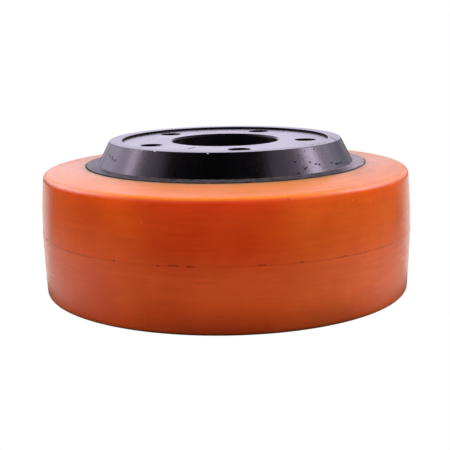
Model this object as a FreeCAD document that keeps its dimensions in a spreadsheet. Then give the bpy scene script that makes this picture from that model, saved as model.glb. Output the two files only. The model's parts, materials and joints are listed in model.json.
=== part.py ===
"""Pallet truck drive wheel: an iron hub casting with a polyurethane tyre bonded to its drum.

The wheel stands on the back end of the drum. The origin is on the axle axis at that end, +Z runs
along the axle to the outer side, where the wheel bolts go in, and the first bolt hole is on +X.
"""
import FreeCAD, Part
import math
import os
import Sketcher

# Driving dimensions, in millimetres
SIZES = {
    # Seat on the drive flange
    "bore_diameter": 66.0,
    "bore_chamfer": 1.0,
    "bolt_circle_diameter": 100.0,
    "bolt_count": 5,
    "bolt_hole_diameter": 12.0,
    "bolt_seat_radius": 14.0,
    "web_thickness": 14.8,
    # Nose of the hub, a cone that rises from the end of the drum to a lip round the bolt face
    "recess_depth": 1.2,
    "lip_width": 7.8,
    "lip_chamfer": 0.5,
    "nose_height": 14.0,
    "nose_root_chamfer": 1.2,
    "ring_width": 7.6,
    "ring_edge_chamfer": 0.8,
    # Drum of the hub, open at the back for the drive flange
    "drum_wall": 11.3,
    "drum_stand_out": 1.0,
    "cavity_corner_chamfer": 6.0,
    # Tyre
    "tyre_diameter": 230.0,
    "tyre_thickness": 28.1,
    "tread_width": 75.0,
    "tread_drop": 1.7,
    "tread_corner": 3.0,
    "side_rise": 3.5,
    "parting_offset": 1.45,
}

# Two measures closer than this are the same
SAME_MEASURE = 1e-4

doc = FreeCAD.newDocument("pallet_truck_drive_wheel")
sheet = doc.addObject("Spreadsheet::Sheet", "sizes")
for row, (alias, size) in enumerate(SIZES.items(), start=1):
    sheet.set(f"A{row}", alias)
    sheet.set(f"B{row}", str(size))
    sheet.setAlias(f"B{row}", alias)
doc.recompute()


def value(expression):
    """Work out an expression of sheet cells as a plain number."""
    return float(sheet.evalExpression(expression))


def origin_feature(body, role):
    """Find the plane or axis of a body's own origin that has this role."""
    return next(part for part in body.Origin.OriginFeatures if part.Role == role)


def new_sketch(body, name, role):
    """Start a sketch on one of a body's origin planes."""
    sketch = body.newObject("Sketcher::SketchObject", name)
    sketch.AttachmentSupport = (origin_feature(body, role), [""])
    sketch.MapMode = "FlatFace"
    return sketch


def bind(sketch, expression, *constraint):
    """Add a dimension to a sketch and tie its value to an expression."""
    number = sketch.addConstraint(Sketcher.Constraint(*constraint, value(expression)))
    sketch.setExpression(f"Constraints[{number}]", expression)


def corner_round(before, corner, after, radius):
    """Give the two ends and the middle of the arc that rounds a corner between its neighbours."""
    arriving = (before - corner).normalize()
    leaving = (after - corner).normalize()
    half_angle = arriving.getAngle(leaving) / 2
    reach = radius / math.tan(half_angle)
    bisector = (arriving + leaving).normalize()
    middle = corner + bisector * (radius / math.sin(half_angle) - radius)
    return corner + arriving * reach, middle, corner + leaving * reach


def revolve(body, name, outline):
    """Turn a closed outline about the axle.

    Each corner of the outline is (radius, height), or (radius, height, round) where it is rounded,
    in expressions of sheet cells.
    """
    sketch = new_sketch(body, f"{name}_section", "XZ_Plane")
    corners = [FreeCAD.Vector(value(radius), value(height), 0) for radius, height, *_ in outline]
    befores = corners[-1:] + corners[:-1]
    afters = corners[1:] + corners[:1]
    sizes = [value(rounding[0]) if rounding else 0.0 for _, _, *rounding in outline]
    rounds = [corner_round(*places) for places in zip(befores, corners, afters, sizes)]
    for (_, _, start), (end, _, _) in zip(rounds, rounds[1:] + rounds[:1]):
        sketch.addGeometry(Part.LineSegment(start, end))

    for leaving, (radius, height, *rounding) in enumerate(outline):
        arriving = (leaving - 1) % len(outline)
        apex = sketch.addGeometry(Part.Point(corners[leaving]), True)
        bind(sketch, radius, "DistanceX", -1, 1, apex, 1)
        if height == "0":
            sketch.addConstraint(Sketcher.Constraint("PointOnObject", apex, 1, -1))
        else:
            bind(sketch, height, "DistanceY", -1, 1, apex, 1)
        if not rounding:
            sketch.addConstraint(Sketcher.Constraint("Coincident", arriving, 2, apex, 1))
            sketch.addConstraint(Sketcher.Constraint("Coincident", leaving, 1, apex, 1))
            continue
        # A sketch keeps its arcs counter-clockwise, so a clockwise corner starts at its far end
        start, middle, end = rounds[leaving]
        clockwise = (middle - start).cross(end - middle).z < 0
        first, last = (2, 1) if clockwise else (1, 2)
        arc = sketch.addGeometry(Part.Arc(*((end, middle, start) if clockwise else (start, middle, end))))
        sketch.addConstraint(Sketcher.Constraint("PointOnObject", apex, 1, arriving))
        sketch.addConstraint(Sketcher.Constraint("PointOnObject", apex, 1, leaving))
        sketch.addConstraint(Sketcher.Constraint("Tangent", arriving, 2, arc, first))
        sketch.addConstraint(Sketcher.Constraint("Tangent", arc, last, leaving, 1))
        bind(sketch, rounding[0], "Radius", arc)

    turned = body.newObject("PartDesign::Revolution", name)
    turned.Profile = sketch
    turned.ReferenceAxis = (sketch, ["V_Axis"])
    doc.recompute()


def chamfer(body, name, size, rims):
    """Chamfer the circular edges of a body that have one of these (radius, height) expressions."""
    base = body.Tip
    edges = []
    for radius, height in rims:
        for number, edge in enumerate(base.Shape.Edges, start=1):
            if not edge.Closed:
                continue
            circle = edge.Curve
            off_size = abs(circle.Radius - value(radius))
            off_height = abs(circle.Center.z - value(height))
            if max(off_size, off_height) < SAME_MEASURE:
                edges.append(f"Edge{number}")
    chamfered = body.newObject("PartDesign::Chamfer", name)
    chamfered.Base = (base, edges)
    chamfered.setExpression("Size", size)
    doc.recompute()


# Heights along the axle
drum_height = "(sizes.tread_width + 2 * sizes.side_rise + 2 * sizes.drum_stand_out)"
middle_height = f"({drum_height} / 2)"
top_height = f"({drum_height} + sizes.nose_height)"
face_height = f"({top_height} - sizes.recess_depth)"
web_height = f"({face_height} - sizes.web_thickness)"

# Radii of the tyre, and of the drum that it is cast onto
tyre_radius = "(sizes.tyre_diameter / 2)"
edge_radius = f"({tyre_radius} - sizes.tread_drop)"
drum_radius = f"({tyre_radius} - sizes.tyre_thickness)"
cavity_radius = f"({drum_radius} - sizes.drum_wall)"

# Radii of the bolt face and its lip. The nose spreads from the lip to the ring inside the tyre
bore_radius = "(sizes.bore_diameter / 2)"
bolt_radius = "(sizes.bolt_circle_diameter / 2)"
recess_radius = f"({bolt_radius} + sizes.bolt_seat_radius)"
nose_radius = f"({recess_radius} + sizes.lip_width)"
nose_root_radius = f"({drum_radius} - sizes.ring_width)"

# Hub: one casting, a drum that a thick web closes at its outer end, turned where it shows
hub = doc.addObject("PartDesign::Body", "hub")
revolve(hub, "hub_casting", [
    (bore_radius, face_height),
    (recess_radius, face_height),
    (recess_radius, top_height),
    (nose_radius, top_height),
    (nose_root_radius, drum_height),
    (drum_radius, drum_height),
    (drum_radius, "0"),
    (cavity_radius, "0"),
    (cavity_radius, web_height),
    (bore_radius, web_height),
])
chamfer(hub, "lip_edge", "sizes.lip_chamfer", [(nose_radius, top_height)])
chamfer(hub, "nose_root", "sizes.nose_root_chamfer", [(nose_root_radius, drum_height)])
chamfer(hub, "ring_edge", "sizes.ring_edge_chamfer", [(drum_radius, drum_height)])
chamfer(hub, "cavity_corner", "sizes.cavity_corner_chamfer", [(cavity_radius, web_height)])
chamfer(hub, "bore_edge", "sizes.bore_chamfer", [(bore_radius, face_height)])
undrilled_volume = hub.Shape.Volume

# One bolt hole through the web
bolt_centre = new_sketch(hub, "bolt_centre", "XY_Plane")
bolt_centre.setExpression("AttachmentOffset.Base.z", face_height)
bolt_axis = FreeCAD.Vector(value(bolt_radius), 0, 0)
bolt_centre.addGeometry(Part.Circle(bolt_axis, FreeCAD.Vector(0, 0, 1), value("sizes.bolt_hole_diameter / 2")))
bolt_centre.addConstraint(Sketcher.Constraint("PointOnObject", 0, 3, -1))
bind(bolt_centre, bolt_radius, "DistanceX", -1, 1, 0, 3)
bind(bolt_centre, "sizes.bolt_hole_diameter", "Diameter", 0)
doc.recompute()

bolt_hole = hub.newObject("PartDesign::Hole", "bolt_hole")
bolt_hole.Profile = bolt_centre
bolt_hole.DepthType = "ThroughAll"
bolt_hole.setExpression("Diameter", "sizes.bolt_hole_diameter")
doc.recompute()

# The bolt circle
bolt_circle = hub.newObject("PartDesign::PolarPattern", "bolt_circle")
bolt_circle.Originals = [bolt_hole]
bolt_circle.Axis = (origin_feature(hub, "Z_Axis"), [""])
bolt_circle.Angle = 360
bolt_circle.setExpression("Occurrences", "sizes.bolt_count")
hub.Tip = bolt_circle
doc.recompute()
if not hub.Shape.Volume < undrilled_volume:
    raise RuntimeError("the bolt holes cut nothing")

# Tyre: one casting from a two-part mould, so each half of the tread tapers away from the parting line,
# which lies a little outside the middle of the tread
half_tread = "(sizes.tread_width / 2)"
half_seat = f"({half_tread} + sizes.side_rise)"
parting_height = f"({middle_height} + sizes.parting_offset)"
tyre = doc.addObject("PartDesign::Body", "tyre")
revolve(tyre, "tyre_casting", [
    (drum_radius, f"({middle_height} - {half_seat})"),
    (edge_radius, f"({middle_height} - {half_tread})", "sizes.tread_corner"),
    (tyre_radius, parting_height),
    (edge_radius, f"({middle_height} + {half_tread})", "sizes.tread_corner"),
    (drum_radius, f"({middle_height} + {half_seat})"),
])

# Every feature has to be sound before anything is written
for item in doc.Objects:
    if "Invalid" in item.State or "Error" in item.State:
        raise RuntimeError(f"{item.Name} failed: {item.State}")
for body in (hub, tyre):
    if body.Shape.isNull() or not body.Shape.isValid():
        raise RuntimeError(f"{body.Label} has no valid shape")

os.makedirs("parts", exist_ok=True)
for body in (hub, tyre):
    body.Shape.exportStep(f"parts/{body.Label}.step")
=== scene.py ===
import json
import math

import bmesh
import bpy
import numpy as np
from mathutils import Matrix, Vector


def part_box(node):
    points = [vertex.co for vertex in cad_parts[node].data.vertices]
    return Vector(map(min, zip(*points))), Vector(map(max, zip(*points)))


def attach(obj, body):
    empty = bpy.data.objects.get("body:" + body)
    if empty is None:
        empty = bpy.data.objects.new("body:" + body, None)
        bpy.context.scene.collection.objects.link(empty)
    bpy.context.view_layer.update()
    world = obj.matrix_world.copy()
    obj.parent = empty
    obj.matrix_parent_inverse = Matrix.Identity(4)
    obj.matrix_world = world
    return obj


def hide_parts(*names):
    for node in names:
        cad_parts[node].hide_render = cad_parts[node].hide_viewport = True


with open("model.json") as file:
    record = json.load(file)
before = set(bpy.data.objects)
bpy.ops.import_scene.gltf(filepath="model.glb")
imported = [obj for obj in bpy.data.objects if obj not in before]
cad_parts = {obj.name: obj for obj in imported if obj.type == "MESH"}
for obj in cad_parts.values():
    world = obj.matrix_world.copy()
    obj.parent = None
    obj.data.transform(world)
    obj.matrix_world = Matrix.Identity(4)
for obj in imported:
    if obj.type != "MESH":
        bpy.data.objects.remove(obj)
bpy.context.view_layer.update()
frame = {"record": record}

# Hub: one iron casting, a drum that a thick web closes at its outer end as a coned nose. It is turned
# where it shows, drilled with a circle of bolt holes and painted black, and its edges are chipped.
MM = 0.001
mounts = {mount["name"]: mount for mount in frame["record"]["mounts"]}
bolts = mounts["bolt_circle"]["dims"]
bolt_count = bolts["count"]
bolt_radius = bolts["pcd_mm"] / 2 * MM
bolt_hole_radius = bolts["hole_r_mm"] * MM
bore_radius = mounts["bore"]["dims"]["r_mm"] * MM
bore_chamfer = 1 * MM
face_height = mounts["bolt_face"]["pos_m"][2]
web_height = mounts["flange_seat"]["pos_m"][2]
hub_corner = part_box("hub")[1]
drum_radius = hub_corner.x
top_height = hub_corner.z
drum_height = top_height - 14.5 * MM
nose_root_radius = drum_radius - 7.6 * MM
cavity_radius = drum_radius - 11.3 * MM
recess_radius = bolt_radius + 14 * MM
nose_radius = recess_radius + 7.8 * MM
web_ring = (bolt_radius - 10.5 * MM, bolt_radius + 10 * MM)
cavity_corner = 6 * MM
drum_edge = 0.8 * MM
recess_edge = 0.25 * MM

# Fineness of the hub's mesh: columns round the axle for each bolt hole, points across a bolt hole's
# sector, steps of an arc, the longest stretch along the section, and the short stretch beside an arc.
# Points nearer to each other than the weld are one
SECTOR_COLUMNS = 96
SECTOR_SIDE = 14
ARC_STEPS = 6
LONGEST_RUN = 5 * MM
FLANK = 0.25 * MM
WELD = 0.001 * MM


def rounded_path(corners, longest=LONGEST_RUN, steps=ARC_STEPS):
    """Points along a path of corners (radius, height, round) in the half-plane beside the axle.

    Each inner corner gives way to the arc of its round that touches both of its sides. A straight run
    between two arcs is divided evenly, after a short flank at either end that keeps its shading flat.
    """
    places = np.array([corner[:2] for corner in corners])
    rounds = np.array([corner[2] for corner in corners[1:-1]])
    sides = np.diff(places, axis=0)
    ways = sides / np.linalg.norm(sides, axis=1, keepdims=True)
    turns = np.arctan2(
        ways[:-1, 0] * ways[1:, 1] - ways[:-1, 1] * ways[1:, 0],
        (ways[:-1] * ways[1:]).sum(axis=1),
    )
    reaches = rounds * np.tan(np.abs(turns) / 2)
    starts = places[1:-1] - ways[:-1] * reaches[:, None]
    left = np.stack([-ways[:-1, 1], ways[:-1, 0]], axis=1) * np.sign(turns)[:, None]
    swept = np.abs(turns)[:, None] * np.linspace(0, 1, steps + 1)
    arcs = (
        starts[:, None]
        + ways[:-1, None] * (rounds[:, None] * np.sin(swept))[..., None]
        + left[:, None] * (rounds[:, None] * (1 - np.cos(swept)))[..., None]
    )
    ends = np.concatenate([places[:1], arcs[:, -1]])
    nexts = np.concatenate([arcs[:, 0], places[-1:]])
    points = [places[:1]]
    for number, (end, following) in enumerate(zip(ends, nexts)):
        run = following - end
        length = np.linalg.norm(run)
        flank = min(FLANK, length / 3)
        spans = max(1, math.ceil((length - 2 * flank) / longest))
        along = np.linspace(flank, length - flank, spans + 1) / length
        points.append(end + along[:, None] * run)
        points.append(arcs[number] if number < len(arcs) else places[-1:])
    return np.concatenate(points)


def turned(path, angles, proud=0.0):
    """Carry a path round the axle: its point (radius, height) lies at (radius cos a, radius sin a, height).

    The radius grows by how far the surface stands proud there, a number or a grid of path by angles.
    """
    radius = path[:, :1] + proud
    return np.stack(np.broadcast_arrays(
        radius * np.cos(angles),
        radius * np.sin(angles),
        path[:, 1:],
    ), axis=-1)


def closed_mesh(name, grids):
    """A smooth mesh of grids of points, each closed along its columns, with the seams between them merged.

    Quad (row, column) joins that point to the next column and the next row, so its normal is the
    direction of the columns crossed with the direction of the rows.
    """
    points = []
    quads = []
    first = 0
    for grid in grids:
        rows, columns = grid.shape[:2]
        numbers = first + np.arange(rows * columns).reshape(rows, columns)
        beside = np.roll(numbers, -1, axis=1)
        quads.append(np.stack([numbers[:-1], beside[:-1], beside[1:], numbers[1:]], axis=-1).reshape(-1, 4))
        points.append(grid.reshape(-1, 3))
        first += rows * columns
    mesh = bpy.data.meshes.new(name)
    mesh.from_pydata(np.concatenate(points), [], np.concatenate(quads))
    welded = bmesh.new()
    welded.from_mesh(mesh)
    bmesh.ops.remove_doubles(welded, verts=welded.verts, dist=WELD)
    welded.to_mesh(mesh)
    welded.free()
    mesh.shade_smooth()
    return mesh


def bolt_hole_grid(angle):
    """One sector of the web with its bolt hole, as rays from the hole's centre to the sector's edge.

    Down each ray the grid runs from the sector's edge in to the rim on the bolt face, through the hole
    and out again to the edge below. The edge is two arcs about the axle and two radial sides, and the
    rows on the two faces crowd toward the rim.
    """
    half = math.pi / bolt_count
    inner, outer = web_ring
    arc = np.linspace(-half, half, SECTOR_COLUMNS, endpoint=False)
    side = np.linspace(outer, inner, SECTOR_SIDE, endpoint=False)
    edge_angle = np.concatenate([arc, np.full(SECTOR_SIDE, half), -arc, np.full(SECTOR_SIDE, -half)])
    edge_radius = np.concatenate([
        np.full(SECTOR_COLUMNS, outer), side, np.full(SECTOR_COLUMNS, inner), inner + outer - side,
    ])
    edge = np.stack([
        edge_radius * np.cos(edge_angle) - bolt_radius, edge_radius * np.sin(edge_angle),
    ], axis=1)
    distance = np.linalg.norm(edge, axis=1)
    ray = edge / distance[:, None]

    rim = bolt_hole_radius + 1 * MM
    edge_break = 0.6 * MM
    hole = rounded_path([
        (rim, face_height, 0),
        (bolt_hole_radius, face_height, edge_break),
        (bolt_hole_radius, web_height, edge_break),
        (rim, web_height, 0),
    ], steps=3)
    spread = np.linspace(1, 0, 6)[:-1, None] ** 1.4
    face_rows = rim + (distance - rim) * spread
    hole_rows = np.repeat(hole[:, :1], len(distance), axis=1)
    reach = np.concatenate([face_rows, hole_rows, face_rows[::-1]])
    height = np.concatenate([
        np.full(len(spread), face_height), hole[:, 1], np.full(len(spread), web_height),
    ])
    across = bolt_radius + reach * ray[:, 0]
    along = reach * ray[:, 1]
    return np.stack(np.broadcast_arrays(
        across * math.cos(angle) - along * math.sin(angle),
        across * math.sin(angle) + along * math.cos(angle),
        height[:, None],
    ), axis=-1)


outer_path = rounded_path([
    (web_ring[1], web_height, 0),
    (cavity_radius, web_height, cavity_corner),
    (cavity_radius, 0, 1.2 * MM),
    (drum_radius, 0, drum_edge),
    (drum_radius, drum_height, drum_edge),
    (nose_root_radius, drum_height, 0.6 * MM),
    (nose_radius, top_height, 0.5 * MM),
    (recess_radius, top_height, recess_edge),
    (recess_radius, face_height, recess_edge),
    (web_ring[1], face_height, 0),
])
inner_path = rounded_path([
    (web_ring[0], face_height, 0),
    (bore_radius + bore_chamfer, face_height, 0.2 * MM),
    (bore_radius, face_height - bore_chamfer, 0.3 * MM),
    (bore_radius, web_height, 0.8 * MM),
    (web_ring[0], web_height, 0),
])
hub_columns = bolt_count * SECTOR_COLUMNS
hub_angles = np.arange(hub_columns) * math.tau / hub_columns - math.pi / bolt_count
hub_mesh = closed_mesh("hub_casting", [
    turned(outer_path, hub_angles),
    turned(inner_path, hub_angles),
    *(bolt_hole_grid(number * math.tau / bolt_count) for number in range(bolt_count)),
])
hub = bpy.data.objects.new("hub_casting", hub_mesh)
bpy.context.scene.collection.objects.link(hub)


class Wire:
    """An output socket of a node tree. Arithmetic on wires and numbers adds Math nodes."""

    def __init__(self, tree, node, output=0):
        self.tree = tree
        self.made_by = node
        self.socket = node.outputs[output]

    def __getitem__(self, output):
        """Another output of the same node."""
        return Wire(self.tree, self.made_by, output)

    def node(self, kind, settings, inputs, output=0):
        """Add a node to this wire's tree: its settings first, then the values or wires of its sockets."""
        added = self.tree.nodes.new(kind)
        for name, setting in settings.items():
            setattr(added, name, setting)
        feed(added, inputs)
        return Wire(self.tree, added, output)

    def math(self, operation, first, second=0.0):
        return self.node("ShaderNodeMath", {"operation": operation}, {0: first, 1: second})

    def vector(self, operation, first, second=(0, 0, 0), output="Vector"):
        return self.node("ShaderNodeVectorMath", {"operation": operation}, {0: first, 1: second}, output)

    def __add__(self, other):
        return self.math("ADD", self, other)

    def __radd__(self, other):
        return self.math("ADD", other, self)

    def __sub__(self, other):
        return self.math("SUBTRACT", self, other)

    def __rsub__(self, other):
        return self.math("SUBTRACT", other, self)

    def __mul__(self, other):
        return self.math("MULTIPLY", self, other)

    def __rmul__(self, other):
        return self.math("MULTIPLY", other, self)

    def __truediv__(self, other):
        return self.math("DIVIDE", self, other)


def feed(node, inputs):
    """Set a node's sockets from values and wires."""
    for name, source in inputs.items():
        if isinstance(source, Wire):
            source.tree.links.new(source.socket, node.inputs[name])
        else:
            node.inputs[name].default_value = source


def new_finish(name):
    """A material with its Principled shader, and the wire of Object coordinates to start its maths from."""
    finish = bpy.data.materials.new(name)
    finish.use_nodes = True
    tree = finish.node_tree
    shader = tree.nodes["Principled BSDF"]
    place = Wire(tree, tree.nodes.new("ShaderNodeTexCoord"), "Object")
    return finish, shader, place


def ramp(value, low, high, at_low=0.0, at_high=1.0):
    """A smooth step from at_low to at_high as the value goes from low to high."""
    return value.node("ShaderNodeMapRange", {"interpolation_type": "SMOOTHSTEP"}, {
        "Value": value, "From Min": low, "From Max": high, "To Min": at_low, "To Max": at_high,
    })


def noise(place, size, detail=2.0, roughness=0.5):
    """Cloudy noise about 0.5 with features of this size."""
    return place.node("ShaderNodeTexNoise", {}, {
        "Vector": place, "Scale": 1 / size, "Detail": detail, "Roughness": roughness,
    }, "Fac")


def blend(amount, first, second):
    """Mix two colours, each a tuple or a wire."""
    return amount.node("ShaderNodeMix", {"data_type": "RGBA"}, {0: amount, 6: first, 7: second}, 2)


def colour(red, green, blue):
    """A colour given in the 0 to 255 steps of a screen, as the linear values that a shader takes."""
    steps = np.array([red, green, blue]) / 255
    linear = np.where(steps <= 0.04045, steps / 12.92, ((steps + 0.055) / 1.055) ** 2.4)
    return (*linear, 1.0)


def toward(place, way):
    """How far a place or a direction reaches along a way: their dot product."""
    return place.vector("DOT_PRODUCT", place, way, "Value")


def most(first, *others):
    """The greatest of several masks."""
    greatest = first
    for other in others:
        greatest = first.math("MAXIMUM", greatest, other)
    return greatest


def about_axle(place):
    """The distance from the axle, the height along it and the direction away from it."""
    parts = place.node("ShaderNodeSeparateXYZ", {}, {0: place})
    outward = place.node("ShaderNodeCombineXYZ", {}, {0: parts, 1: parts[1]})
    return place.vector("LENGTH", outward, output="Value"), parts[2], place.vector("NORMALIZE", outward)


def spots(place, ragged, marks):
    """Marks on a turned surface: 1 inside each, 0 outside, with ragged edges.

    A mark is (degrees round the axle, radius, height) and its half sizes in millimetres, outward, round
    the axle and along it.
    """
    shown = None
    for degrees, radius, height, *half_sizes in marks:
        angle = math.radians(degrees)
        inside = place.node("ShaderNodeMapping", {"vector_type": "TEXTURE"}, {
            "Vector": place,
            "Location": (radius * math.cos(angle) * MM, radius * math.sin(angle) * MM, height * MM),
            "Rotation": (0, 0, angle),
            "Scale": [half * MM for half in half_sizes],
        })
        reach = place.vector("LENGTH", inside, output="Value") + ragged
        mark = ramp(reach, 0.8, 1.2, 1.0, 0.0)
        shown = mark if shown is None else most(shown, mark)
    return shown


paint, paint_shader, paint_place = new_finish("black_paint")
paint_radius, paint_height, paint_way = about_axle(paint_place)
grain = noise(paint_place, 0.9 * MM, 2.0, 0.6)
peel = noise(paint_place, 2.6 * MM, 2.0, 0.55)
cloud = noise(paint_place, 24 * MM, 3.0)
ragged_paint = (grain - 0.5) * 1.6

# Dust lies on the flat ring between the nose and the tyre, thickest at the right and worn off its rim, and
# the cast inside of the drum is dull
ring = ramp(paint_height, drum_height - 3.5 * MM, drum_height - 1.5 * MM)
ring = ring * ramp(paint_height, drum_height + 0.2 * MM, drum_height + 0.7 * MM, 1.0, 0.0)
ring_rim = ring * ramp(paint_radius, drum_radius - 0.8 * MM, drum_radius - 0.3 * MM, 0.0, 0.7)
dust_right = ramp(toward(paint_way, (0.88, 0.48, 0)), 0.5, 0.85, 0.28, 1.45)
dust_left = ramp(toward(paint_way, (-0.95, 0.3, 0)), 0.6, 0.9, 0.0, 0.2)
dust_side = dust_right + dust_left
mottle = noise(paint_place, 3.5 * MM, 3.0, 0.65)
dust = ring * (1 - ring_rim) * ramp(mottle * 0.6 + grain * 0.4, 0.36, 0.62, 0.15, 1.0) * dust_side
inside_drum = ramp(paint_height, web_height - 2 * MM, web_height - 0.5 * MM, 1.0, 0.0)

# The walls of the bolt holes, the bore and the recess are bare of gloss. The distance from the nearest bolt
# hole is the third side of a triangle whose other two run from the axle to the point and to the hole
paint_parts = paint_place.node("ShaderNodeSeparateXYZ", {}, {0: paint_place})
half_sector = math.pi / bolt_count
off_hole = paint_place.node("ShaderNodeMath", {"operation": "WRAP"}, {
    0: paint_place.math("ARCTAN2", paint_parts[1], paint_parts), 1: half_sector, 2: -half_sector,
})
squares = paint_radius * paint_radius + bolt_radius ** 2
cosine_term = paint_radius * paint_place.math("COSINE", off_hole) * (2 * bolt_radius)
from_hole = paint_place.math("SQRT", squares - cosine_term)
drilled = ramp(from_hole, bolt_hole_radius + 0.5 * MM, bolt_hole_radius + 0.8 * MM, 1.0, 0.0)
bored = ramp(paint_radius, bore_radius + 0.1 * MM, bore_radius + 0.4 * MM, 1.0, 0.0)
facing_up = paint_place["Normal"].node("ShaderNodeSeparateXYZ", {}, {0: paint_place["Normal"]}, 2)
machined = ramp(facing_up, 0.9, 0.98) * (1 - ring)
lip = ramp(paint_height, top_height - 0.7 * MM, top_height - 0.3 * MM)
recess_wall = ramp(paint_radius, recess_radius - 0.3 * MM, recess_radius - 0.1 * MM)
recess_wall = recess_wall * ramp(paint_radius, recess_radius + 0.2 * MM, recess_radius + 0.5 * MM, 1.0, 0.0)
recess_wall = recess_wall * ramp(facing_up, 0.5, 0.9, 1.0, 0.0)

# Chips of bare iron on the lip's outer edge, coloured near white as a painted glint, then pits, specks and
# scratches where the paint is gone dull
chips_and_glints = spots(paint_place, ragged_paint, [
    (-115, 71.8, 97.8, 0.4, 0.7, 0.35),
    (-89, 72.0, 97.5, 0.4, 0.5, 0.35),
    (-131, 71.8, 97.9, 0.3, 0.4, 0.2),
    (-127, 71.8, 97.9, 0.3, 0.3, 0.2),
    (-123, 71.8, 97.9, 0.3, 0.4, 0.2),
    (34, 71.8, 97.8, 0.4, 0.6, 0.3),
    (88, 71.9, 97.7, 0.4, 0.5, 0.35),
    (161, 71.8, 97.8, 0.4, 0.7, 0.3),
])
cone_pits = spots(paint_place, ragged_paint, [
    (-149, 75.0, 92.0, 2, 0.8, 0.5),
    (-147, 75.3, 91.2, 2, 0.7, 0.6),
    (-144, 75.5, 91.4, 2, 0.8, 0.5),
    (-143, 76.0, 90.2, 2, 0.7, 0.7),
    (-140, 76.0, 90.0, 2, 0.9, 0.6),
    (-50, 75.6, 91.0, 2, 1.1, 0.5),
    (-43, 72.8, 96.1, 2, 0.4, 0.3),
    (-42, 76.1, 90.0, 2, 0.7, 0.5),
    (-39, 76.9, 88.5, 2, 1.0, 0.5),
    (-37, 77.2, 87.9, 2, 0.8, 0.5),
    (-37, 72.6, 96.5, 2, 0.4, 0.3),
    (-46, 77.9, 86.7, 2, 0.9, 0.5),
    (-45, 77.4, 87.5, 2, 0.7, 0.4),
    (-50, 78.8, 84.9, 2, 1.4, 0.4),
    (-28, 77.3, 87.6, 2, 1.6, 0.4),
    (-24, 78.0, 86.4, 2, 2.6, 0.5),
    (-20, 78.2, 86.3, 2, 2.0, 0.4),
    (-4, 79.8, 84.4, 1.6, 1.6, 1),
    (22, 75.2, 91.6, 2, 0.9, 0.5),
    (61, 77.0, 88.4, 2, 1.3, 0.5),
    (66, 76.4, 89.4, 2, 0.7, 0.5),
    (104, 75.0, 92.1, 2, 0.8, 0.6),
    (139, 77.6, 87.2, 2, 1.8, 0.4),
    (147, 76.2, 89.8, 2, 0.8, 0.5),
])
face_marks = spots(paint_place, ragged_paint, [
    (-107.5, 44.8, 96.8, 4.6, 0.6, 1),
    (-4, 67.5, 98, 1.4, 0.8, 1),
    (2, 66.0, 98, 1.2, 1.0, 1),
    (-8, 69.4, 98, 1.0, 0.9, 1),
    (-10, 70.4, 98, 0.9, 0.6, 1),
    (-14, 67.6, 98, 1.0, 0.5, 1),
    (-20, 67.3, 98, 1.1, 0.5, 1),
    (-25, 68.0, 98, 0.9, 0.5, 1),
    (-28, 68.0, 98, 1.0, 0.5, 1),
    (-33, 67.7, 98, 1.1, 0.6, 1),
])
dull = most(cone_pits * 0.8, face_marks, ring_rim, drilled, recess_wall)

# The paint has the grain of the casting under it, except on the turned faces, and a faint grey bloom on the
# left and right walls of the bore
relief = (peel * 0.6 + grain * 0.4) * (1 - machined * 0.98)
relief = relief - cone_pits * 0.7 - chips_and_glints * 2
paint_relief = paint_place.node("ShaderNodeBump", {}, {
    "Strength": 1.0, "Distance": 0.14 * MM, "Height": relief,
})
black = blend(ramp(cloud, 0.35, 0.7), colour(1, 1, 2), colour(4, 3, 5))
to_either_side = paint_place.math("ABSOLUTE", toward(paint_way, (0.99, 0.15, 0)))
bloom = bored * ramp(to_either_side, 0.6, 0.95) * ramp(mottle * 0.7 + grain * 0.3, 0.4, 0.7) * 0.1
dusty = blend(dust + bloom, black, colour(165, 150, 160))
unevenness = cloud * 0.7 + grain * 0.3 * (1 - machined) + machined * 0.15
feed(paint_shader, {
    # The chips' near-white colour is a painted glint of bare iron
    "Base Color": blend(chips_and_glints, dusty, colour(214, 208, 212)),
    "Roughness": (
        ramp(unevenness, 0.3, 0.7, 0.22, 0.32) - machined * 0.03 + dull * 0.6 + ring * 0.16 + lip * 0.1
    ),
    "Normal": paint_relief,
    "Coat Weight": (1 - ring * 0.85) * (1 - dull) * (1 - chips_and_glints) * (1 - inside_drum * 0.9) * (1 - bored),
    "Coat Roughness": 0.2,
    "IOR": 1.5,
})
hub_mesh.materials.append(paint)
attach(hub, "root")
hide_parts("hub")

# Tyre: one ring of orange polyurethane, cast onto the drum in a two-part mould. Both halves of the tread
# taper away from the parting line, where a thin trimmed flash is left and has picked up dirt.
tyre_low, tyre_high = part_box("tyre")
tyre_radius = tyre_high.x
seat_low = tyre_low.z
seat_high = tyre_high.z
side_rise = 3.5 * MM
tread_low = seat_low + side_rise
tread_high = seat_high - side_rise
crown_round = 200 * MM
parting_height = (seat_low + seat_high) / 2 + 1.45 * MM
flash_height = 0.2 * MM
flash_width = 0.5 * MM
front_angle = math.radians(-81)
TYRE_COLUMNS = 720


def flash_left(angles):
    """What trimming has left of the flash, 0 to 1: a sum of four waves, cut back most in front."""
    waves = np.sin(5 * angles + 1) + np.sin(13 * angles) + np.sin(31 * angles + 2) + np.sin(71 * angles)
    frontness = np.clip((np.cos(angles - front_angle) - 0.3) / 0.5, 0, 1)
    return np.clip(0.6 + 0.25 * waves, 0, 1) * (1 - 0.85 * frontness)


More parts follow.
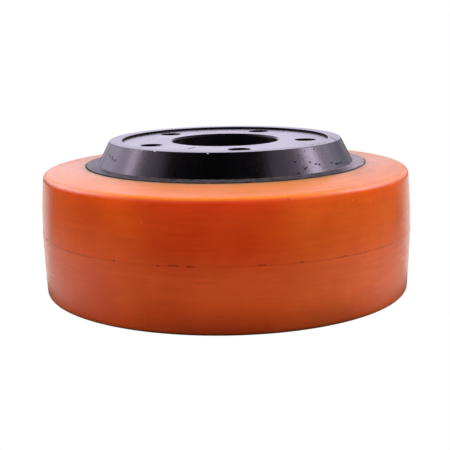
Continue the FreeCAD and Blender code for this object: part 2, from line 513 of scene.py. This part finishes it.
tread_top = tyre_radius - flash_height
lower_tread = rounded_path([
    (drum_radius, parting_height, 0),
    (drum_radius, seat_low, 0.3 * MM),
    (tyre_radius - 1.5 * MM, tread_low + 0.5 * MM, 2.7 * MM),
    (tyre_radius - 0.5 * MM, parting_height - 15.5 * MM, crown_round),
    (tread_top, parting_height - flash_width, 0),
], longest=3 * MM)
upper_tread = rounded_path([
    (tread_top, parting_height + flash_width, 0),
    (tyre_radius - 0.6 * MM, parting_height + 16.5 * MM, crown_round),
    (tyre_radius - 2.0 * MM, tread_high, 3.5 * MM),
    (drum_radius, seat_high, 0.3 * MM),
    (drum_radius, parting_height, 0),
], longest=3 * MM)
across_flash = np.linspace(-flash_width, flash_width, 9)[1:-1]
ridge = np.stack([np.full_like(across_flash, tread_top), parting_height + across_flash], axis=1)
tyre_path = np.concatenate([lower_tread, ridge, upper_tread])
off_ridge = np.clip(np.abs(tyre_path[:, 1] - parting_height) / flash_width, 0, 1)
ridge_share = (1 + np.cos(math.pi * off_ridge)) / 2 * (tyre_path[:, 0] > drum_radius + MM)
tyre_angles = np.arange(TYRE_COLUMNS) * math.tau / TYRE_COLUMNS
tyre_mesh = closed_mesh("polyurethane_tyre", [
    turned(tyre_path, tyre_angles, flash_height * ridge_share[:, None] * flash_left(tyre_angles)),
])
tyre = bpy.data.objects.new("polyurethane_tyre", tyre_mesh)
bpy.context.scene.collection.objects.link(tyre)

rubber, rubber_shader, rubber_place = new_finish("orange_polyurethane")
rubber_radius, rubber_height, rubber_way = about_axle(rubber_place)


def streaks(fine, long, detail=3.0):
    """Noise drawn out round the axle: features of one size across the surface and a longer one along it."""
    across = rubber_place.node("ShaderNodeCombineXYZ", {}, {2: (rubber_radius + rubber_height) / fine})
    along = rubber_place.vector("SCALE", rubber_way)
    along.made_by.inputs["Scale"].default_value = tyre_radius / long
    return noise(rubber_place.vector("ADD", along, across), 1.0, detail, 0.6)


swirl = noise(rubber_place, 38 * MM, 4.0, 0.55)
skin = noise(rubber_place, 1.4 * MM, 3.0, 0.6)
scuff = streaks(1.6 * MM, 26 * MM)
ragged_rubber = (noise(rubber_place, 1.0 * MM, 2.0, 0.6) - 0.5) * 1.8
end_facing = rubber_place.math("ABSOLUTE", rubber_place["Normal"].node(
    "ShaderNodeSeparateXYZ", {}, {0: rubber_place["Normal"]}, 2))
side = ramp(end_facing, 0.8, 0.985)
corner = ramp(end_facing, 0.1, 0.3) * ramp(end_facing, 0.93, 0.985, 1.0, 0.0)
toward_front = toward(rubber_way, (0.08, -1, 0))

# Dirt in the broken line along the flash and in the joint with the hub, with painted shade fading out from
# the joint across the side face, a painted shade under the lower corner, dirt in a fine line where the
# upper corner's round meets the side, and fine scratches round the tread
off_parting = rubber_place.math("ABSOLUTE", rubber_height - (parting_height - 0.25 * MM))
line_dirt = ramp(off_parting, 0.15 * MM, 0.5 * MM, 1.0, 0.0)
line_dirt = line_dirt * ramp(streaks(9 * MM, 7 * MM), 0.4, 0.62, 0.14, 0.42)
line_dirt = line_dirt * ramp(toward_front, 0.75, 0.97, 1.0, 0.35)
# Dark in the joint itself, then painted shade fading out across the side face from the hub
joint_dirt_and_shade = ramp(rubber_radius, drum_radius + 0.2 * MM, drum_radius + 0.7 * MM, 1.0, 0.25)
joint_dirt_and_shade = joint_dirt_and_shade * ramp(rubber_radius, drum_radius + 1 * MM, drum_radius + 4 * MM, 1.0, 0.0)
# A dark strip under the lower corner of the tread: painted contact shade
lower_corner_shade = ramp(rubber_height, tread_low + 0.6 * MM, tread_low + 2.2 * MM, 1.0, 0.0) * (1 - side)
off_rim_line = rubber_place.math("ABSOLUTE", rubber_radius - (tyre_radius - 5 * MM))
rim_line = ramp(off_rim_line, 0.2 * MM, 0.6 * MM, 1.0, 0.0) * side
scuffed = ramp(toward_front, 0.3, 0.7, 1.0, 0.0)
scratches = ramp(streaks(0.8 * MM, 7 * MM) + scuffed * 0.06, 0.64, 0.74) * (1 - side)

# Dark marks, most of them on the parting line, a cut in the upper corner, smears and a painted reflection
# of the hub, pale nicks and scuffs
dark_marks = spots(rubber_place, ragged_rubber, [
    (-139.5, 115, 43.2, 1, 2.6, 0.5),
    (-113.5, 115, 43.6, 1, 0.9, 0.6),
    (-100, 115, 43.1, 1, 1.0, 0.6),
    (-96, 115, 43.5, 1, 3.4, 0.45),
    (-91, 115, 43.3, 1, 2.2, 0.55),
    (-72.5, 115, 43.5, 1, 3.2, 0.5),
    (-64.5, 113.5, 77.5, 1, 0.8, 0.6),
    (-122, 87.2, 83, 1, 1, 1),
    (-47.5, 115, 43.4, 1, 2.4, 0.5),
    (-61, 115, 43.4, 1, 1.6, 0.5),
    (18, 115, 43.4, 1, 3.2, 0.5),
    (40, 115, 43.5, 1, 1.8, 0.5),
    (77, 115, 43.3, 1, 2.8, 0.5),
    (128, 115, 43.4, 1, 3.6, 0.5),
    (170, 115, 43.4, 1, 2.2, 0.5),
])
corner_cut = spots(rubber_place, ragged_rubber, [
    (-153, 113.3, 78.2, 1.5, 4.2, 0.8),
    (-148.5, 113.4, 77.4, 1.5, 3.8, 0.7),
])
smears_and_hub_reflection = spots(rubber_place, ragged_rubber, [
    (-87, 114.6, 34.7, 1, 6, 0.6),
    (-79, 113.8, 14.8, 1, 3, 0.8),
    (-83, 113.7, 16.0, 1, 2, 0.6),
    # These two darken the side face beside the hub at the right: a painted reflection of the dark hub
    (-22, 92.5, 82.4, 4.5, 15, 3),
    (-3, 91.5, 82.6, 4, 10, 3),
    (52, 114.2, 60.0, 1, 7, 0.7),
    (118, 114.4, 30.0, 1, 9, 0.8),
])
pale_marks = spots(rubber_place, ragged_rubber, [
    (-132.5, 114.1, 62.5, 1, 0.6, 0.6),
    (-104.5, 113.9, 66.0, 1, 0.6, 0.6),
    (-102.5, 114.7, 36.6, 1, 0.7, 0.6),
    (-44, 113.6, 73.2, 1, 0.6, 0.5),
    (-37, 113.7, 70.5, 1, 0.6, 0.5),
    (-44, 114.3, 58.0, 1, 0.6, 0.5),
    (12, 114.0, 64.0, 1, 0.7, 0.5),
    (35, 114.2, 28.0, 1, 0.6, 0.6),
    (70, 113.8, 69.0, 1, 0.6, 0.6),
    (95, 114.5, 52.0, 1, 0.8, 0.5),
    (133, 113.9, 22.0, 1, 0.6, 0.6),
    (155, 114.1, 61.0, 1, 0.7, 0.6),
])
edge_scuffs = spots(rubber_place, ragged_rubber * 1.4, [
    (-147, 114.6, 39.5, 1, 3.5, 0.8),
    (-151, 114.4, 33.0, 1, 4.0, 1.2),
    (-146, 114.0, 24.0, 1, 5.0, 0.8),
    (-153, 113.8, 17.0, 1, 3.5, 1.2),
    (-13, 114.7, 39.0, 1, 3.0, 1.4),
    (-8, 114.6, 34.5, 1, 4.0, 1.2),
    (-16, 114.4, 30.0, 1, 4.5, 0.9),
    (-9, 114.2, 24.0, 1, 3.5, 1.4),
    (112, 114.3, 26.0, 1, 5.0, 1.0),
    (60, 114.6, 37.0, 1, 4.0, 1.0),
])
grime_and_hub_reflection = most(line_dirt, dark_marks * 0.5, smears_and_hub_reflection * 0.14, corner_cut * 0.7, rim_line * 0.1)
# Darker toward the bottom of the tread, most of all in front, with a ragged edge: painted shade
low_front_shade = ramp(rubber_height + (swirl - 0.5) * 12 * MM, 0, 26 * MM, 0.5, 0.0)
low_front_shade = low_front_shade * ramp(toward(rubber_way, (0.33, -0.94, 0)), 0.75, 0.97, 0.05, 1.0) * (1 - side)

# The tread's colour is deepest in front, where the tread is smooth, and paler round both sides, above the
# parting line more than below it: partly the polyurethane's own tone and partly painted light and shade.
# Darker and lighter swirls run through it, the end faces are painted paler as a sheen and the corner palest
# as a highlight
lower_half = ramp(rubber_height, parting_height - 9 * MM, parting_height + 12 * MM, 1.0, 0.0)
drift = ramp(toward_front, 0.9, 1.0, 1.0, 0.0)
toward_left = toward(rubber_way, (-0.98, -0.2, 0))
leftward = ramp(toward_left, -0.6, 0.6)
side_leftward = ramp(toward_left, -0.15, 0.3)


def round_tread(front, right, left):
    """A colour that drifts round the wheel, from its tone in front to those of the right and the left."""
    return blend(drift, colour(*front), blend(leftward, colour(*right), colour(*left)))


darker = blend(
    lower_half,
    round_tread((207, 62, 5), (217, 92, 20), (217, 81, 10)),
    round_tread((215, 81, 30), (220, 95, 36), (222, 85, 26)),
)
lighter = blend(
    lower_half,
    round_tread((222, 74, 7), (234, 106, 24), (234, 95, 14)),
    round_tread((231, 95, 36), (237, 109, 42), (239, 99, 32)),
)
tread_colour = blend(ramp(swirl * 0.7 + scuff * 0.3, 0.34, 0.66), darker, lighter)
# The end faces are painted paler and pinker than the tread, most at the left: a painted sheen
side_colour_with_sheen = blend(
    ramp(scuff * 0.4 + swirl * 0.6, 0.3, 0.7),
    blend(side_leftward, colour(228, 122, 62), colour(241, 136, 88)),
    blend(side_leftward, colour(242, 142, 84), colour(251, 154, 110)),
)
# The corner's pale colour, pinkest at the sides: a painted highlight
corner_side_highlight = blend(leftward, colour(246, 150, 122), colour(248, 158, 142))
corner_highlight = blend(ramp(toward_front, 0.6, 0.95), corner_side_highlight, colour(240, 127, 42))
clean = blend(side, blend(ramp(end_facing, 0.25, 0.75), tread_colour, corner_highlight), side_colour_with_sheen)

# Wear, dirt and painted shade over the clean colour, from the palest to the darkest
pale = most(pale_marks * 0.7, scratches * (0.15 + scuffed * 0.3))
marked = blend(edge_scuffs * 0.4, blend(pale, clean, colour(238, 116, 58)), colour(248, 160, 125))
# Redder and darker toward the bottom of the tread all round: painted shade
low_reddened_shade = blend(ramp(rubber_height, 4 * MM, 26 * MM, 0.32, 0.0) * (1 - side), marked, colour(190, 40, 0))
# Darker still at the bottom in front: painted shade
worn_and_low_shaded = blend(low_front_shade, low_reddened_shade, colour(66, 3, 0))
# Dirt, and the painted reflection of the hub
dirt_shade_and_reflection = blend(grime_and_hub_reflection, worn_and_low_shaded, colour(100, 13, 0))
# Painted contact shade under the lower corner
shadowed = blend(lower_corner_shade, dirt_shade_and_reflection, colour(48, 4, 0))
grooves = scratches * (0.6 + scuffed * 1.6) + rim_line * 0.2
rubber_relief = rubber_place.node("ShaderNodeBump", {}, {
    "Strength": 0.2, "Distance": 0.1 * MM, "Height": skin * 0.6 + scuff * 0.2 - grooves,
})
feed(rubber_shader, {
    # The joint's dark and the painted shade beside it
    "Base Color": blend(joint_dirt_and_shade * 0.8, shadowed, colour(66, 13, 3)),
    "Roughness": ramp(scuff, 0.3, 0.7, 0.17, 0.23) + corner * 0.15 + joint_dirt_and_shade * 0.2,
    "Normal": rubber_relief,
    "IOR": 1.48,
    "Coat Weight": (1 - side) * 0.2,
    "Coat Roughness": 0.2,
    "Sheen Weight": 0.4,
    "Sheen Roughness": 0.35,
    "Sheen Tint": (1.0, 0.62, 0.28, 1.0),
    "Subsurface Weight": 0.8,
    "Subsurface Radius": (1.0, 0.6, 0.2),
    "Subsurface Scale": 20 * MM,
})
tyre_mesh.materials.append(rubber)
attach(tyre, "root")
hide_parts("tyre")

# Studio: a white floor and surround, a soft light overhead, a low panel behind the wheel, and a fill, a
# strip and a box light on either side. The camera stands a little above the wheel, as for the photograph.
# Lengths are in metres.
photo_azimuth = math.radians(8.67)
photo_heading = math.radians(8.753)
photo_pitch = math.radians(11.538)
photo_roll = math.radians(0.998)
photo_elevation = math.radians(11.436)
photo_distance = 635 * MM
photo_lens = 79.94
right_way = Vector((math.cos(photo_azimuth), math.sin(photo_azimuth), 0))
back_way = Vector((-math.sin(photo_azimuth), math.cos(photo_azimuth), 0))
up_way = Vector((0, 0, 1))


def studio_place(right, back, up):
    """A place given by how far it lies to the right, to the back and up, as the camera sees the wheel."""
    return right_way * right + back_way * back + up_way * up


camera = bpy.data.objects.new("camera", bpy.data.cameras.new("camera"))
camera.data.lens = photo_lens
camera.data.sensor_width = 36
stand = studio_place(
    0,
    -photo_distance * math.cos(photo_elevation),
    photo_distance * math.sin(photo_elevation) + parting_height,
)
camera.matrix_world = (
    Matrix.Translation(stand)
    @ Matrix.Rotation(photo_heading, 4, "Z")
    @ Matrix.Rotation(math.pi / 2 - photo_pitch, 4, "X")
    @ Matrix.Rotation(-photo_roll, 4, "Z")
)
bpy.context.scene.collection.objects.link(camera)
bpy.context.scene.camera = camera

lilac = (0.86, 0.79, 1.0, 1.0)
pink = (0.94, 0.75, 1.0, 1.0)
white = (1.0, 1.0, 1.0, 1.0)
wheel_middle = Vector((0, 0, parting_height))


def soft_light(name, place, width, height, power, tint):
    """A rectangular soft light that faces the wheel."""
    lamp = bpy.data.lights.new(name, "AREA")
    lamp.shape = "RECTANGLE"
    lamp.size = width
    lamp.size_y = height
    lamp.energy = power
    lamp.color = tint[:3]
    fixture = bpy.data.objects.new(name, lamp)
    fixture.location = place
    fixture.rotation_euler = (wheel_middle - place).to_track_quat("-Z", "Y").to_euler()
    bpy.context.scene.collection.objects.link(fixture)
    return fixture


overhead = soft_light("overhead", studio_place(0, -0.05, 0.87), 0.9, 0.8, 4.1, white)
overhead.visible_glossy = False
right_fill = soft_light("right_fill", studio_place(0.75, -0.75, 0.2), 0.5, 0.5, 1.9, white)
right_fill.visible_glossy = False
left_fill = soft_light("left_fill", studio_place(-0.9, -0.3, 0.2), 0.5, 0.5, 1.15, white)
left_fill.visible_glossy = False
soft_light("back_panel", studio_place(-0.15, 1.4, 0.24), 1.1, 0.44, 0.5, lilac)
soft_light("left_strip", studio_place(-0.9, 0.14, 0.57), 0.16, 0.6, 0.9, pink)
soft_light("left_box", studio_place(-0.9, 0.16, 0.57), 1.2, 0.6, 1.3, pink)
soft_light("right_strip", studio_place(0.88, 0.02, 0.61), 0.22, 0.6, 2.2, pink)
soft_light("right_box", studio_place(0.87, -0.1, 0.63), 1.4, 0.6, 1.7, pink)

world = bpy.data.worlds.new("white_surround")
bpy.context.scene.world = world
world.use_nodes = True
surround = Wire(world.node_tree, world.node_tree.nodes.new("ShaderNodeTexCoord"), "Generated")
in_view = surround.node("ShaderNodeLightPath", {}, {}, "Is Camera Ray")
in_gloss = in_view["Is Glossy Ray"]
backward = toward(surround, back_way)
upward = toward(surround, up_way)
rightward = toward(surround, right_way)
to_one_side = surround.math("ABSOLUTE", rightward)

# The camera sees the surround as plain white. Gloss sees it brightest behind the wheel, in the middle and
# far out at the sides, with a dark edge low down between them, and dim and low everywhere else
middle_glow = ramp(to_one_side, 0.28, 0.45, 0.6, 0.0) * ramp(to_one_side, 0.03, 0.12, 1.0, 0.92)
middle_glow = middle_glow * ramp(rightward, 0, 0.12, 1.0, 0.84)
left_glow = ramp(rightward, -0.56, -0.44, 0.78, 0.0) * ramp(rightward, -0.85, -0.7, 0.7, 1.0)
right_glow = ramp(rightward, 0.62, 0.76, 0.0, 0.45)
side_glow = (left_glow + right_glow) * ramp(upward, 0.02, 0.16)
behind_wheel = ramp(backward, -0.05, 0.4) * (0.35 + middle_glow + side_glow)
seen_in_gloss = behind_wheel * ramp(upward, 0.4, 0.8, 1.0, 0.35) * ramp(upward, 0.09, 0.12, 1.05, 0.88)
dark_edge = ramp(to_one_side, 0.1, 0.18) * ramp(to_one_side, 0.3, 0.4, 1.0, 0.0)
dark_edge = dark_edge * ramp(upward, 0.02, 0.08, 0.9, 0.0)
low_around = ramp(backward, -0.15, 0.15, 0.35, 0.0)
low_around = low_around * ramp(upward, 0.02, 0.08) * ramp(upward, 0.28, 0.4, 1.0, 0.0)
seen_in_gloss = seen_in_gloss * (1 - dark_edge) + low_around
around = ramp(backward, -0.8, 0.6, 0.6, 0.52)
feed(world.node_tree.nodes["Background"], {
    "Color": blend(in_gloss, white, lilac),
    "Strength": in_view + (1 - in_view) * (in_gloss * seen_in_gloss + (1 - in_gloss) * around),
})

half_floor = 6.0
floor_mesh = bpy.data.meshes.new("floor")
floor_mesh.from_pydata(
    [(right * half_floor, back * half_floor, 0) for right, back in ((-1, -1), (1, -1), (1, 1), (-1, 1))],
    [], [(0, 1, 2, 3)],
)
floor = bpy.data.objects.new("floor", floor_mesh)
bpy.context.scene.collection.objects.link(floor)
paper = bpy.data.materials.new("white_paper")
paper.use_nodes = True
paper_tree = paper.node_tree
paper_place = Wire(paper_tree, paper_tree.nodes.new("ShaderNodeTexCoord"), "Object")
paper_in_view = paper_place.node("ShaderNodeLightPath", {}, {}, "Is Camera Ray")
paper_in_gloss = paper_in_view["Is Glossy Ray"]
crevice = paper_place.node("ShaderNodeAmbientOcclusion", {"samples": 16}, {"Distance": 2.5 * MM}, "AO")
behind = toward(paper_place, back_way)
from_axle = paper_place.vector("LENGTH", paper_place, output="Value")
sideways = toward(paper_place, right_way)
beside = paper_place.math("ABSOLUTE", sideways)

# Gloss sees the floor fade with its distance from the wheel, bright straight behind and dark in front and
# where the wheel stands. The camera sees it white, with a painted shadow along the line of contact and
# inside the drum
around_wheel = ramp(from_axle, 0.17, 0.42, 0.74, 0.15) * ramp(sideways, -0.1, 0.1, 0.85, 0.7)
slant = (beside - tyre_radius) / behind
straight_behind = ramp(slant, 0.5, 1.4, 1.0, 0.0) * ramp(beside, 0.12, 0.14) * ramp(behind, 0.0, 0.03)
near_front = ramp(from_axle, 0.13, 0.3, 0.02, 0.17)
in_front = ramp(behind / from_axle, -1.0, -0.3, near_front, 1.0)
contact = ramp(from_axle, tyre_radius, tyre_radius + 30 * MM)
far_beside = ramp(beside, 0.12, 0.18) * ramp(from_axle, 0.55, 0.8)
mirrored = (around_wheel + (1 - around_wheel) * straight_behind) * in_front * contact
mirrored = mirrored * (1 - far_beside * 0.9)
in_drum = ramp(from_axle, cavity_radius - 3 * MM, cavity_radius + 3 * MM, 0.12, 1.0)
shine = paper_in_view * ramp(crevice, 0.3, 0.95, 0.08, 1.0) * in_drum + paper_in_gloss * mirrored
mirror_tint = (1.0, 0.9, 0.92, 1.0)
glow = paper_place.node("ShaderNodeEmission", {}, {
    "Color": blend(paper_in_gloss, white, mirror_tint), "Strength": shine,
})

# To every other ray the floor is matt paper, painted darker near the wheel as its shade, clear from below
# and under the wheel, so that its back is lit
shaded = (0.12, 0.12, 0.12, 1)
open_floor = (0.35, 0.35, 0.35, 1)
matt = paper_place.node("ShaderNodeBsdfDiffuse", {}, {
    "Color": blend(ramp(from_axle, tyre_radius, tyre_radius + 200 * MM), shaded, open_floor),
})
by_eye = paper_in_view + paper_in_gloss
seen = paper_place.node("ShaderNodeMixShader", {}, {0: by_eye, 1: matt, 2: glow})
clear = paper_place.node("ShaderNodeBsdfTransparent", {}, {})
below = paper_place.node("ShaderNodeNewGeometry", {}, {}, "Backfacing")
lit_from_below = ramp(from_axle, 85 * MM, 110 * MM, 1.0, 0.0) * (1 - by_eye)
see_through = most(below, lit_from_below)
sheet = paper_place.node("ShaderNodeMixShader", {}, {0: see_through, 1: seen, 2: clear})
feed(paper_tree.nodes["Material Output"], {"Surface": sheet})
floor_mesh.materials.append(paper)

bpy.context.scene.view_settings.view_transform = "Standard"
